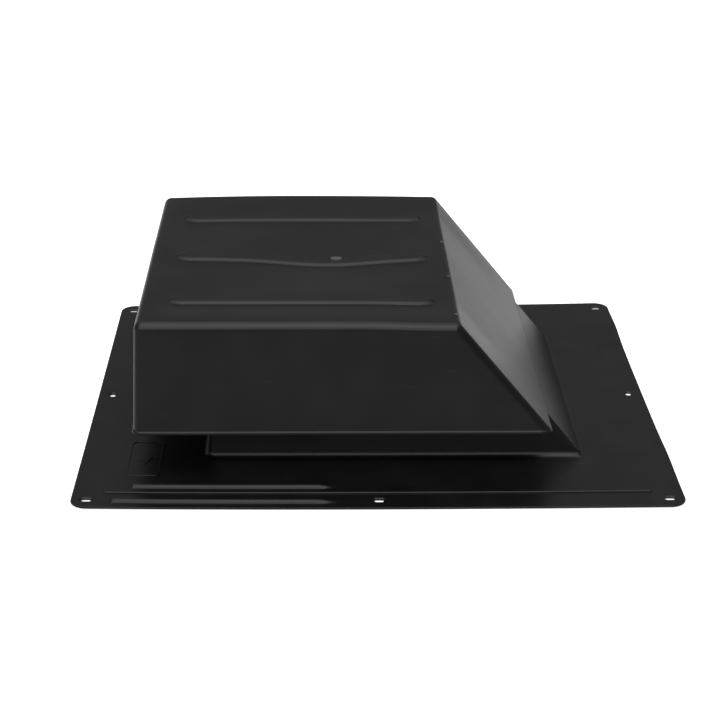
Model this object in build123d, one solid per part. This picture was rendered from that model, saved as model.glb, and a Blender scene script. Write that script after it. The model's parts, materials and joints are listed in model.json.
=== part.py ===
from build123d import *
import os
from math import hypot, radians, tan

# Slant-back static roof vent: a nail-down base with a raised curb, and a hood that
# stands over the curb on four posts. Air leaves the roof through the throat, passes
# over the top of the curb and leaves downwards, inside the hood's skirt.
# Millimetres. Origin at the middle of the underside, +Z up, -X down the roof slope,
# +X up the slope, -Y the near side ("front"), +Y the far side ("back").

# Driving dimensions: base flange
FLANGE_LENGTH = 457.2
FLANGE_WIDTH = 419.1
FLANGE_CORNER_R = 13.0
SHEET = 1.6
EDGE_ROUND = 0.5
FIELD_MARGIN = 23.0
FIELD_RISE = 1.2
FIELD_CORNER_R = 2.0
FIELD_TOP = SHEET + FIELD_RISE

# Curb and ramp
WALL = 2.2
DRAFT = 3.0
CURB_LEFT = -130.5
CURB_HALF_WIDTH = 125.0
CURB_TOP = 66.0
CURB_CORNER_R = 5.0
CURB_FOOT_R = 4.5
RAMP_EDGE_R = 3.0
LAP_GAP = 0.3

# Hood
HOOD_TOP = 127.0
SKIRT_BOTTOM = 37.6
HOOD_HALF_WIDTH = 158.8
HOOD_LEFT_TOP = -180.9
HOOD_LEFT_BOTTOM = -184.6
HOOD_RIDGE = 59.3
HOOD_TOE = 132.8
HOOD_EDGE_R = 6.3
RIM_PROUD = 1.1
RIM_HEIGHT = 2.4
RIM_ROUND = 0.9

# Raised ridges along the hood's top
TOP_RIDGE_LEFT = -160.5
TOP_RIDGE_RIGHT = 45.0
TOP_RIDGE_SPACING = 101.8
TOP_RIDGE_WIDTH = 20.0
TOP_RIDGE_HEIGHT = 2.2
TOP_RIDGE_TAPER = 7.0

# Beads beside the curb that keep water on the flange; each of the two starts is (x, y)
CHANNEL_WIDTH = 6.3
CHANNEL_HEIGHT = 2.4
CHANNEL_END = -30.0
CHANNEL_TAPER = 16.0
INNER_CHANNEL = (-183.0, 177.2)
OUTER_CHANNEL = (-196.4, 199.5)

# Nail holes
NAIL_X = 217.0
NAIL_Y = 196.8
NAIL_SLOT_LENGTH = 7.0
NAIL_SLOT_WIDTH = 3.6
SIDE_NAIL_R = 2.3
NAIL_DISH_MARGIN = 1.6
NAIL_DISH_DEPTH = 0.8

# Plain direction mark, an arrow in a frame, moulded on the flange
MARK_X = -179.0
MARK_Y = -127.0
MARK_LENGTH = 27.0
MARK_WIDTH = 62.0
MARK_LINE = 2.0
MARK_HEIGHT = 0.8

# Posts and the screws through them
POST_X = (-114.0, 50.0)
POST_Y = 110.0
POST_R = 6.5
POST_BORE_R = 2.3
POST_FIN = 1.6
LUG_TOP = 61.0
LUG_THICKNESS = 3.0
LUG_HALF_WIDTH = 10.0
LUG_INNER_Y = 100.0
GUSSET = 2.0
GUSSET_DROP = 22.0
BOSS_BOTTOM = 112.0
BOSS_R = 6.5
HOOD_PILOT_R = 2.0
HOOD_SCREW_R = 1.95
HOOD_SCREW_TIP = 122.5

# Screen in the throat
LEDGE_BOTTOM = 26.6
LEDGE_THICKNESS = 2.0
LEDGE_LEFT = -117.0
LEDGE_RIGHT = 126.5
LEDGE_HALF_WIDTH = 112.0
SCREEN_THICKNESS = 0.6
FRAME_THICKNESS = 4.0
FRAME_LEFT = -126.0
FRAME_RIGHT = 135.4
FRAME_HALF_WIDTH = 121.0
FRAME_RIM = 12.0
FRAME_BAR = 3.0
FRAME_CELLS = 6
FRAME_CORNER_R = 2.0
SCREEN_SCREW_R = 1.45
SCREEN_PILOT_R = 1.5
SCREEN_SCREW_CLEARANCE_R = 1.7
SCREEN_SCREW_TIP = 32.0
SCREEN_BOSS_R = 4.0
SCREEN_BOSS_TOP = 33.0

# Sealing strip between ramp and hood
SEAL_LOW = 44.0
SEAL_HIGH = 56.0
SEAL_HALF_WIDTH = 116.0
SEAL_RECESS = 1.0
SEAL_GAP = 0.05

FAR = 400.0


def slant_x(z, inset=0.0):
    """X at height z of the slope that hood and ramp share, moved inwards by inset."""
    run = (HOOD_TOE - HOOD_RIDGE) / (HOOD_TOP - SKIRT_BOTTOM)
    return HOOD_RIDGE + (HOOD_TOP - z) * run - inset * hypot(1, run)


def wall_slope():
    """Lean of the hood's left wall for each millimetre of height."""
    return (HOOD_LEFT_TOP - HOOD_LEFT_BOTTOM) / (HOOD_TOP - SKIRT_BOTTOM)


def block(x0, x1, y0, y1, z0, z1):
    """A plain box between two corners."""
    middle = ((x0 + x1) / 2, (y0 + y1) / 2, (z0 + z1) / 2)
    return Pos(*middle) * Box(x1 - x0, y1 - y0, z1 - z0)


def prism_y(points, half_width):
    """A polygon drawn in the XZ plane and extruded to both sides of it."""
    return extrude(Plane.XZ * make_face(Polyline(*points, close=True)), half_width, both=True)


def slope_bar(low, high, shallow, deep, half_width):
    """A bar that lies along the slope between two heights and two depths under it."""
    points = [
        (slant_x(low, deep), low),
        (slant_x(low, shallow), low),
        (slant_x(high, shallow), high),
        (slant_x(high, deep), high),
    ]
    return prism_y(points, half_width)


def post_places():
    """The four post positions: (name, x, y)."""
    places = []
    for side, y in (("front", -POST_Y), ("back", POST_Y)):
        for end, x in zip(("left", "right"), POST_X):
            places.append((f"{side}_{end}", x, y))
    return places


def screen_screw_places():
    """Eight screws round the screen frame."""
    row_y = FRAME_HALF_WIDTH - FRAME_RIM / 2
    row_x = (-118.0, 0.0, 122.0)
    places = [(x, y) for x in row_x for y in (-row_y, row_y)]
    return places + [(FRAME_LEFT + FRAME_RIM / 2, 0.0), (FRAME_RIGHT - 7.0, 0.0)]


def ridge(x0, x1, y, surface, width, height, taper_start, taper_end):
    """A low rounded ridge along X that fades into the surface at each tapered end."""
    radius = (width**2 / 4 + height**2) / (2 * height)
    flat = radius - height
    axis_z = surface - flat
    along = Plane((0, y, axis_z), x_dir=(0, 1, 0), z_dir=(1, 0, 0))
    low = x0 + taper_start
    high = x1 - taper_end
    body = Pos((low + high) / 2, y, axis_z) * Rot(0, 90, 0) * Cylinder(radius, high - low)
    if taper_start:
        body += loft([along.offset(x0) * Circle(flat), along.offset(low) * Circle(radius)])
    else:
        body += Pos(low, y, axis_z) * Sphere(radius)
    if taper_end:
        body += loft([along.offset(high) * Circle(radius), along.offset(x1) * Circle(flat)])
    below = block(-FAR, FAR, y - FAR, y + FAR, axis_z - FAR, surface - SHEET / 2)
    return body - below


def drafted_block(inset, z0, z1):
    """The curb's block between two heights, moved inwards by inset, ramp included."""
    lean = (z0 - FIELD_TOP) * tan(radians(DRAFT))
    left = CURB_LEFT + inset + lean
    half = CURB_HALF_WIDTH - inset - lean
    right = slant_x(FIELD_TOP) + 60.0
    face = Plane.XY.offset(z0) * Pos((left + right) / 2, 0) * Rectangle(right - left, 2 * half)
    body = extrude(face, z1 - z0, taper=DRAFT)
    under_ramp = [
        (-FAR, z0 - 1),
        (slant_x(z0 - 1, inset), z0 - 1),
        (slant_x(z1 + 1, inset), z1 + 1),
        (-FAR, z1 + 1),
    ]
    return body & prism_y(under_ramp, FAR)


def lap_step(inset):
    """What is cut from the ramp above the hood's toe, for the slanted panel to lie in.

    The step is as deep as the hood's wall, so the outer faces of hood and ramp are flush.
    """
    low = SKIRT_BOTTOM - LAP_GAP - inset
    return slope_bar(low, CURB_TOP + 10, -10, inset + WALL + LAP_GAP, FAR)


def curb_shell():
    """The solid block of the curb and ramp with its corners rounded."""
    body = drafted_block(0, FIELD_TOP, CURB_TOP)
    sides = [e for e in body.edges() if e.bounding_box().size.Z > CURB_TOP / 2]
    body = fillet([e for e in sides if e.center().X < 0], CURB_CORNER_R)
    sides = [e for e in body.edges() if e.bounding_box().size.Z > CURB_TOP / 2]
    body = fillet([e for e in sides if e.center().X > 90], RAMP_EDGE_R)
    return body - lap_step(0)


def flange_plate():
    """The nail flange with its raised inner field, one sheet of even thickness."""
    plate = extrude(RectangleRounded(FLANGE_LENGTH, FLANGE_WIDTH, FLANGE_CORNER_R), SHEET)
    plate = fillet(plate.faces().sort_by(Axis.Z)[-1].edges(), EDGE_ROUND)
    length = FLANGE_LENGTH - 2 * FIELD_MARGIN
    width = FLANGE_WIDTH - 2 * FIELD_MARGIN
    field = extrude(RectangleRounded(length, width, FIELD_CORNER_R), FIELD_TOP)
    field = fillet(field.faces().sort_by(Axis.Z)[-1].edges(), EDGE_ROUND)
    hollow = extrude(RectangleRounded(length - 3, width - 3, FIELD_CORNER_R), FIELD_RISE)
    return plate + field - hollow


def direction_mark():
    """A framed arrow that points up the slope."""
    frame = RectangleRounded(MARK_LENGTH, MARK_WIDTH, MARK_LENGTH / 4)
    inside = RectangleRounded(
        MARK_LENGTH - 2 * MARK_LINE, MARK_WIDTH - 2 * MARK_LINE, MARK_LENGTH / 4 - MARK_LINE
    )
    tip = MARK_LENGTH / 2 - 4 * MARK_LINE
    head = Polyline((tip, 0), (0, 12), (0, 5), (-tip, 5), (-tip, -5), (0, -5), (0, -12), close=True)
    drawing = Pos(MARK_X, MARK_Y) * (Sketch() + (frame - inside) + make_face(head))
    return extrude(Plane.XY.offset(FIELD_TOP) * drawing, MARK_HEIGHT)


def nail_cut(x, y, slot):
    """One nail hole with a shallow dish round it."""
    if slot:
        hole = SlotOverall(NAIL_SLOT_LENGTH, NAIL_SLOT_WIDTH)
        dish = SlotOverall(
            NAIL_SLOT_LENGTH + 2 * NAIL_DISH_MARGIN, NAIL_SLOT_WIDTH + 2 * NAIL_DISH_MARGIN
        )
    else:
        hole = Circle(SIDE_NAIL_R)
        dish = Circle(SIDE_NAIL_R + NAIL_DISH_MARGIN)
    through = extrude(Pos(x, y, -1) * hole, SHEET + 2)
    recess = extrude(Pos(x, y, SHEET) * dish, -NAIL_DISH_DEPTH, taper=40)
    return through + recess


def post_lug(x, y):
    """A shelf on the curb's side wall, on two gussets, that carries one post."""
    outward = 1 if y > 0 else -1
    low_y, high_y = sorted((outward * LUG_INNER_Y, outward * CURB_HALF_WIDTH))
    bottom = LUG_TOP - LUG_THICKNESS
    lug = block(x - LUG_HALF_WIDTH, x + LUG_HALF_WIDTH, low_y, high_y, bottom, LUG_TOP)
    for gusset_x in (x - LUG_HALF_WIDTH + GUSSET / 2, x + LUG_HALF_WIDTH - GUSSET / 2):
        points = [
            (outward * LUG_INNER_Y, bottom),
            (outward * CURB_HALF_WIDTH, bottom),
            (outward * CURB_HALF_WIDTH, bottom - GUSSET_DROP),
        ]
        side = Plane.YZ.offset(gusset_x) * make_face(Polyline(*points, close=True))
        lug += extrude(side, GUSSET / 2, both=True)
    return lug - Pos(x, y, bottom) * Cylinder(POST_BORE_R, 4 * LUG_THICKNESS)


def screen_ledge():
    """The rim inside the throat that the screen is screwed up against."""
    top = LEDGE_BOTTOM + LEDGE_THICKNESS
    ledge = block(-FAR / 2, FAR / 2, -CURB_HALF_WIDTH, CURB_HALF_WIDTH, LEDGE_BOTTOM, top)
    ledge -= block(
        LEDGE_LEFT, LEDGE_RIGHT, -LEDGE_HALF_WIDTH, LEDGE_HALF_WIDTH, LEDGE_BOTTOM - 1, top + 1
    )
    for x, y in screen_screw_places():
        height = SCREEN_BOSS_TOP - LEDGE_BOTTOM
        ledge += Pos(x, y, LEDGE_BOTTOM + height / 2) * Cylinder(SCREEN_BOSS_R, height)
    for x, y in screen_screw_places():
        depth = SCREEN_SCREW_TIP + 0.5 - (LEDGE_BOTTOM - 1)
        ledge -= Pos(x, y, LEDGE_BOTTOM - 1 + depth / 2) * Cylinder(SCREEN_PILOT_R, depth)
    return ledge


def seal_recess():
    """The shallow groove across the ramp, hidden under the hood, for the sealing strip."""
    deep = WALL + LAP_GAP + SEAL_RECESS
    return slope_bar(SEAL_LOW, SEAL_HIGH, 0, deep, SEAL_HALF_WIDTH)


def make_base():
    """Flange, curb, ramp, water channels, nail holes, post lugs and screen ledge."""
    outer = curb_shell()
    body = flange_plate() + outer
    foot = [
        e
        for e in body.edges()
        if abs(e.center().Z - FIELD_TOP) < 0.01
        and e.bounding_box().max.X < slant_x(FIELD_TOP) + 1
        and e.bounding_box().min.X > CURB_LEFT - 1
    ]
    body = fillet(foot, CURB_FOOT_R)
    void = drafted_block(WALL, -1, CURB_TOP + 1) - lap_step(WALL)
    inside = screen_ledge()
    for _, x, y in post_places():
        inside += post_lug(x, y)
    body = body - void + (inside & outer)
    for side in (-1, 1):
        start, y = INNER_CHANNEL
        body += ridge(
            start, CHANNEL_END, side * y, FIELD_TOP, CHANNEL_WIDTH, CHANNEL_HEIGHT, 0, CHANNEL_TAPER
        )
        start, y = OUTER_CHANNEL
        body += ridge(
            start, CHANNEL_END, side * y, SHEET, CHANNEL_WIDTH, CHANNEL_HEIGHT, 0, CHANNEL_TAPER
        )
        for x in (-NAIL_X, 0, NAIL_X):
            body -= nail_cut(x, side * NAIL_Y, True)
        body -= nail_cut(side * NAIL_X, 0, False)
    body += direction_mark()
    return body - seal_recess()


def hood_block(inset):
    """The hood's solid form, moved inwards by inset, with rounded edges."""
    top = HOOD_TOP - inset
    bottom = SKIRT_BOTTOM if inset == 0 else SKIRT_BOTTOM - 1
    lean = wall_slope()
    left_inset = inset * hypot(1, lean)
    points = [
        (HOOD_LEFT_BOTTOM + (bottom - SKIRT_BOTTOM) * lean + left_inset, bottom),
        (HOOD_LEFT_BOTTOM + (top - SKIRT_BOTTOM) * lean + left_inset, top),
        (slant_x(top, inset), top),
        (slant_x(bottom, inset), bottom),
    ]
    body = prism_y(points, HOOD_HALF_WIDTH - inset)
    rounded = [e for e in body.edges() if e.center().Z > bottom + 1]
    return fillet(rounded, HOOD_EDGE_R - inset)


def hood_rim():
    """The small outward lip round the bottom of the skirt, open at the ramp."""
    left = HOOD_LEFT_BOTTOM - RIM_PROUD
    half = HOOD_HALF_WIDTH + RIM_PROUD
    right = FAR / 2
    outline = Plane.XY.offset(SKIRT_BOTTOM) * Pos((left + right) / 2, 0)
    lip = extrude(outline * RectangleRounded(right - left, 2 * half, HOOD_EDGE_R), RIM_HEIGHT)
    lip = fillet(lip.faces().sort_by(Axis.Z)[-1].edges(), RIM_ROUND)
    under_slant = [
        (-FAR, SKIRT_BOTTOM - 1),
        (slant_x(SKIRT_BOTTOM - 1, HOOD_EDGE_R / 3), SKIRT_BOTTOM - 1),
        (slant_x(SKIRT_BOTTOM + 9, HOOD_EDGE_R / 3), SKIRT_BOTTOM + 9),
        (-FAR, SKIRT_BOTTOM + 9),
    ]
    return lip & prism_y(under_slant, FAR)


def make_hood():
    """The hood's shell with its rim, top ridges and screw bosses."""
    body = hood_block(0) + hood_rim() - hood_block(WALL)
    for y in (-TOP_RIDGE_SPACING, 0, TOP_RIDGE_SPACING):
        body += ridge(
            TOP_RIDGE_LEFT,
            TOP_RIDGE_RIGHT,
            y,
            HOOD_TOP,
            TOP_RIDGE_WIDTH,
            TOP_RIDGE_HEIGHT,
            TOP_RIDGE_TAPER,
            TOP_RIDGE_TAPER,
        )
    boss_height = HOOD_TOP - WALL / 2 - BOSS_BOTTOM
    pilot_depth = HOOD_SCREW_TIP + 0.5 - BOSS_BOTTOM
    for _, x, y in post_places():
        body += Pos(x, y, BOSS_BOTTOM + boss_height / 2) * Cylinder(BOSS_R, boss_height)
    for _, x, y in post_places():
        body -= Pos(x, y, BOSS_BOTTOM + pilot_depth / 2) * Cylinder(HOOD_PILOT_R, pilot_depth)
    return body


def make_post(x, y):
    """A hollow post with four fins, from its lug up to the hood's boss."""
    height = BOSS_BOTTOM - LUG_TOP
    middle = Pos(x, y, LUG_TOP + height / 2)
    post = middle * Cylinder(POST_R - 2, height)
    post += Pos(x, y, LUG_TOP + POST_FIN / 2) * Cylinder(POST_R, POST_FIN)
    post += Pos(x, y, BOSS_BOTTOM - POST_FIN / 2) * Cylinder(POST_R, POST_FIN)
    for turn in (0, 90):
        post += middle * Rot(0, 0, turn) * Box(2 * POST_R - 1, POST_FIN, height)
    return post - middle * Cylinder(POST_BORE_R, height + 2)


def pan_screw(x, y, seat, tip, radius):
    """A pan-head screw that points up, its head seated under the height given."""
    head_r = 2.1 * radius
    head_height = 1.2 * radius
    recess = 0.45 * radius
    head = Pos(x, y, seat - head_height / 2) * Cylinder(head_r, head_height)
    head = fillet(head.faces().sort_by(Axis.Z)[0].edges(), 0.7 * radius)
    shank = Pos(x, y, (seat + tip - radius) / 2) * Cylinder(radius, tip - radius - seat)
    point = Pos(x, y, tip - radius / 2) * Cone(radius, 0.3 * radius, radius)
    screw = head + shank + point
    for size in ((2 * radius, recess), (recess, 2 * radius)):
        screw -= Pos(x, y, seat - head_height) * Box(*size, 1.2 * radius)
    return screw


def make_screen_frame():
    """The rigid frame under the insect screen, with cross bars."""
    length = FRAME_RIGHT - FRAME_LEFT
    width = 2 * FRAME_HALF_WIDTH
    middle_x = (FRAME_LEFT + FRAME_RIGHT) / 2
    bottom = LEDGE_BOTTOM - SCREEN_THICKNESS - FRAME_THICKNESS
    outline = RectangleRounded(length, width, FRAME_CORNER_R)
    cell_length = (length - 2 * FRAME_RIM - (FRAME_CELLS - 1) * FRAME_BAR) / FRAME_CELLS
    cell_width = (width - 2 * FRAME_RIM - (FRAME_CELLS - 1) * FRAME_BAR) / FRAME_CELLS
    pitch_x = cell_length + FRAME_BAR
    pitch_y = cell_width + FRAME_BAR
    cells = GridLocations(pitch_x, pitch_y, FRAME_CELLS, FRAME_CELLS)
    outline -= cells * RectangleRounded(cell_length, cell_width, FRAME_CORNER_R)
    frame = extrude(Plane((middle_x, 0, bottom)) * outline, FRAME_THICKNESS)
    for x, y in screen_screw_places():
        frame -= Pos(x, y, bottom) * Cylinder(SCREEN_SCREW_CLEARANCE_R, 4 * FRAME_THICKNESS)
    return frame


def make_insect_screen():
    """The sheet of insect screen between frame and ledge."""
    size = (FRAME_RIGHT - FRAME_LEFT - 2, 2 * FRAME_HALF_WIDTH - 2, SCREEN_THICKNESS)
    middle = ((FRAME_LEFT + FRAME_RIGHT) / 2, 0, LEDGE_BOTTOM - SCREEN_THICKNESS / 2)
    sheet = Pos(*middle) * Box(*size)
    for x, y in screen_screw_places():
        sheet -= Pos(x, y, middle[2]) * Cylinder(SCREEN_SCREW_CLEARANCE_R, 2)
    return sheet


def make_ramp_seal():
    """The strip of soft sealant in the ramp's groove, under the hood's slanted panel."""
    deep = WALL + LAP_GAP + SEAL_RECESS
    return slope_bar(SEAL_LOW + 1, SEAL_HIGH - 1, WALL + SEAL_GAP, deep, SEAL_HALF_WIDTH - 2)


def make_screws(places, seat, tip, radius):
    """A group of identical screws."""
    return Compound([pan_screw(x, y, seat, tip, radius) for x, y in places])


def main():
    os.makedirs("parts", exist_ok=True)
    frame_bottom = LEDGE_BOTTOM - SCREEN_THICKNESS - FRAME_THICKNESS
    post_xy = [(x, y) for _, x, y in post_places()]
    parts = {
        "base_flashing": make_base(),
        "hood": make_hood(),
        "screen_frame": make_screen_frame(),
        "insect_screen": make_insect_screen(),
        "ramp_seal": make_ramp_seal(),
        "hood_screws": make_screws(
            post_xy, LUG_TOP - LUG_THICKNESS, HOOD_SCREW_TIP, HOOD_SCREW_R
        ),
        "screen_screws": make_screws(
            screen_screw_places(), frame_bottom, SCREEN_SCREW_TIP, SCREEN_SCREW_R
        ),
    }
    for name, x, y in post_places():
        parts[f"hood_post_{name}"] = make_post(x, y)
    for node, shape in parts.items():
        export_step(shape, f"parts/{node}.step")
        size = shape.bounding_box().size
        print(f"{node}: {size.X:.1f} x {size.Y:.1f} x {size.Z:.1f}")


main()
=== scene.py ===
import json
from math import cos, hypot, pi, radians, sin, tan

import bmesh
import bpy
import numpy as np
from mathutils import Matrix, Vector


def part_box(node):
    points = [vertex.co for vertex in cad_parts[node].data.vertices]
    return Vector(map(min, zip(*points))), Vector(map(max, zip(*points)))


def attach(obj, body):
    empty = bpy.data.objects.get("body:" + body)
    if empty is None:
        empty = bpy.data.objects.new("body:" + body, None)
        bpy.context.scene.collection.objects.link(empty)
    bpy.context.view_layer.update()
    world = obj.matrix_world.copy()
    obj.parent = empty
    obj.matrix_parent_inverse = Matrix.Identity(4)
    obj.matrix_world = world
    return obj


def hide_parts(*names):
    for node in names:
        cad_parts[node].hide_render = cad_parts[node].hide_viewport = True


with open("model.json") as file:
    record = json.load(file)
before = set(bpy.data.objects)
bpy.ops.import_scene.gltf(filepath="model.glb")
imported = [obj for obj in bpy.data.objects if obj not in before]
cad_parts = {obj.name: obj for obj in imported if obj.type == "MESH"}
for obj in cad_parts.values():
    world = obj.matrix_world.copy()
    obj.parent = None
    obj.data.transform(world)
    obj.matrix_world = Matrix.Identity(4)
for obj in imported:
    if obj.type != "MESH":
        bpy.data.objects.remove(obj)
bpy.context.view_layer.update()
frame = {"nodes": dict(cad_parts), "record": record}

# A slant-back roof vent in black polypropylene. Its two mouldings, hood and base, are
# rebuilt here as sewn quad meshes with soft edges and the slight warp of real mouldings.
# Shapes are worked out in millimetres and become metres when a mesh is made.
# X runs up the roof slope, Y across it, Z up.

MM = 0.001
UP = np.array((0.0, 0.0, 1.0))


def box_mm(node):
    """Lowest and highest corner of a CAD node, in millimetres."""
    low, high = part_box(node)
    return np.array(low) / MM, np.array(high) / MM


BASE_HIGH = box_mm("base_flashing")[1]
HOOD_LOW, HOOD_HIGH = box_mm("hood")
SCREEN_LOW, SCREEN_HIGH = box_mm("insect_screen")
POST_NODES = sorted(n for n in frame["nodes"] if n.startswith("hood_post_"))
MOUNTS = {m["name"]: m for m in frame["record"]["mounts"]}

# Sizes of the CAD parts, in millimetres, and the slopes of two walls
WALL = 2.2
SHEET = 1.6
FIELD_MARGIN = 23.0
FIELD_RISE = 1.2
FIELD_TOP = SHEET + FIELD_RISE
FIELD_CORNER_R = 2.0
FLANGE_CORNER_R = 13.0
CURB_LEFT = -130.5
CURB_HALF_WIDTH = 125.0
CURB_TOP = BASE_HIGH[2]
CURB_CORNER_R = 5.0
RAMP_EDGE_R = 3.0
CURB_FOOT_R = 4.5
DRAFT = tan(radians(3))
LAP_GAP = 0.3
RIM_PROUD = 1.1
RIDGE_HEIGHT = 2.2
HOOD_TOP = HOOD_HIGH[2] - RIDGE_HEIGHT
SKIRT_BOTTOM = HOOD_LOW[2]
HOOD_HALF_WIDTH = HOOD_HIGH[1] - RIM_PROUD
HOOD_TOE = HOOD_HIGH[0]
HOOD_RIDGE = 59.3
HOOD_LEFT_BOTTOM = HOOD_LOW[0] + RIM_PROUD
HOOD_EDGE_R = 6.3
HOOD_LEFT_TOP = -180.9
LEFT_LEAN = (HOOD_LEFT_TOP - HOOD_LEFT_BOTTOM) / (HOOD_TOP - SKIRT_BOTTOM)
SLANT_RUN = (HOOD_TOE - HOOD_RIDGE) / (HOOD_TOP - SKIRT_BOTTOM)
RIDGE_SPACING = 101.8
RIDGE_HALF_WIDTH = 10.0
RIDGE_LEFT = -160.5
RIDGE_RIGHT = 45.0
BEAD_WIDTH = 6.3
BEAD_HEIGHT = 2.4
BEAD_END = -30.0
BEAD_TAPER = 16.0
DISH_MARGIN = 1.6
DISH_DEPTH = 0.8
EDGE_ROUND = 0.5
HOLLOW_MARGIN = 1.5
LEDGE_THICKNESS = 2.0
LEDGE_LEFT = -117
LEDGE_RIGHT = 126.5
LEDGE_HALF_WIDTH = 112
LUG_THICKNESS = 3
LUG_HALF_WIDTH = 10
LUG_INNER_Y = 100.0
GUSSET = 2
GUSSET_DROP = 22
BOSS_R = 6.5
HOOD_PILOT_R = 2
SCREEN_BOSS_R = 4
SCREEN_BOSS_HEIGHT = 6.4
MARK_PLACE = (-179.0, -127.0)
MARK_SIZE = (27.0, 62.0)
MARK_LINE = 2.0
MARK_HEIGHT = 0.8
STEM_HALF_WIDTH = 5
HEAD_HALF_WIDTH = 12

# Start X of each pair of beads, and its distance from the middle
BEADS = ((-183.0, 177.2), (-196.4, 199.5))

# The screen's screws: X of the three in each row, and the distances from the screen's edges
# of the rows, of the left-hand screw and of the right-hand one
SCREW_ROW_X = (-118.0, 0.0, 122.0)
SCREW_MARGIN = 5
SCREW_MARGIN_RIGHT = 6

# Sizes that differ in the look from the CAD, or that only the look has, in millimetres: the
# gap at the ramp's step, the ridges' flanks, the width of the step round the flange's field,
# the bosses' height and holes, soft edges, how far pieces run into each other, and the wires
SHOWN_LAP_GAP = 0.08
RIDGE_FLANK = 3.0
STEP_WIDTH = 0.7
BOSS_HEIGHT = 11
SCREEN_PILOT_R = 1.6
CHAMFER = 0.4
OVERLAP = 0.5
MARK_SOFT = 0.2
MARK_SUNK = 0.6
LUG_SUNK = 4
MARK_CORNER_R = 6
ARROW_REACH = 6
WIRE_PITCH = 3.6
WIRE_R = 0.16

# The gate's stub on the middle ridge and the pips beside the fold: places, half sizes, and
# how far the paler colour round each reaches
GATE = (-30.0, 4.5)
GATE_SIZE = (6.0, 2.6)
PALE_REACH = 5.5
PIP_REACH = 1.8
PIPS = ((58.6, 35.5), (58.8, -47.9), (58.6, -133.8))

# Half sizes of the blocks of the flange's grid that hold a nail slot or a round hole
SLOT_BLOCK = (6.2, 4.55)
HOLE_BLOCK = (5.4, 5.4)

# Distances inside the field's border of the grid lines that draw its step and the hollow's
STEP_LINES = (0, 0.03, 0.12, 0.28, 0.48, 0.7, 1.5, 1.53, 1.62, 1.85)

# Heights of the rows of quads between the curb's edges: outside, inside and in the throat
OUTER_ROWS = (44, 52, 60)
INNER_ROWS = (56, 46)
THROAT_ROWS = (24, 12)

# How far the hood's top has sunk: all over, by up to SINK_BACK more behind, and by up to
# SINK_MIDDLE more in a hollow on the middle ridge. The sinking starts inside the left wall
# and grows over a reach from there and from the sides. Near the fold a share is held back.
SINK = 3.2
SINK_BACK = 0.5
SINK_MIDDLE = 5.2
HOLLOW_X = -37
HOLLOW_REACH = 52
SINK_START = 10
SINK_REACH_X = 26
SINK_REACH_Y = 56
HELD_SHARE = 0.45
HELD_X = 30
HELD_REACH = 28

# How the back and front edges of the hood's top bow: the rise in the middle, and the drops
# towards both ends of the back edge and the right end of the front edge
BOW_X = -60
BOW_REACH = 120
BACK_RISE = 0.7
BACK_DROP_LEFT = 2.2
BACK_DROP_RIGHT = 1.1
FRONT_RISE = 0.4
FRONT_DROP = 1.4
FRONT_DROP_X = -20
FRONT_DROP_REACH = 70

# How far each corner of the flange curls up, by the signs of its X and Y, the bulges of its
# right edge as (Y, height, reach), and the share of the way there at which they start
CORNER_CURL = {(-1, -1): 1.75, (1, -1): 1.0, (-1, 1): 0.0, (1, 1): 2.6}
EDGE_BULGES = ((148, 2.2, 30), (-125, 1.5, 35))
BULGE_START = 0.7

# Camera: place and lens in millimetres, angles in radians
CAMERA_PLACE = (-47.53, -1419.69, 620.97)
CAMERA_LENS = 92.05
CAMERA_YAW = 0.0265
CAMERA_PITCH = 0.39279
CAMERA_ROLL = 0.00807

# Radiance of the world's parts
BACKDROP = 0.74
FLOOR_BOUNCE = 0.56
WALLS = 0.2
CEILING = 0.8
FRONT_BOX = 1.5

# Where those parts fade: spans of the X, Y or Z of a direction that is one long. The turn
# is how much of X is added to the Y of the backdrop's span.
BACKDROP_FADE = (-0.12, 0.02)
BACKDROP_SIDE = (0.0, 0.75)
BACKDROP_TURN = 0.35
FLOOR_FADE = (-0.35, 0.0)
CEILING_FADE = (0.55, 0.85)
BOX_SIDE = (-0.15, -0.7)
BOX_FOOT = (0.1, 0.3)
BOX_RIGHT = (0.15, 0.55)

# The overhead soft box: watts, and metres
OVERHEAD = 3.5
OVERHEAD_PLACE = (-0.1, -0.35, 1.5)
OVERHEAD_TARGET = (0, 0, 0.05)
OVERHEAD_SIZE = (1.5, 0.9)

# The floor, in metres
FLOOR_HALF = 8.0
FLOOR_LEVEL = -0.0006

# The black plastic: its colour and refraction, and its scuffs, pale places and dust
PLASTIC_TONE = (0.0055, 0.0055, 0.0058)
PLASTIC_IOR = 1.49
SCUFF_TONE = (0.12, 0.12, 0.12)
PALE_SPOT_TONE = (0.16, 0.16, 0.16)
DUST_TONE = (0.3, 0.29, 0.27)


def slant_x(z, inset=0.0):
    """X at height z of the slope that hood and ramp share, moved inwards by inset."""
    return HOOD_TOE - (z - SKIRT_BOTTOM) * SLANT_RUN - inset * hypot(1, SLANT_RUN)


def screen_screw_places():
    """X and Y of the eight screws that hold the screen up."""
    row_y = SCREEN_HIGH[1] - SCREW_MARGIN
    places = [(x, y) for x in SCREW_ROW_X for y in (-row_y, row_y)]
    left, right = SCREEN_LOW[0] + SCREW_MARGIN, SCREEN_HIGH[0] - SCREW_MARGIN_RIGHT
    return places + [(left, 0.0), (right, 0.0)]


# ---------------------------------------------------------------- mesh tools


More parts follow.
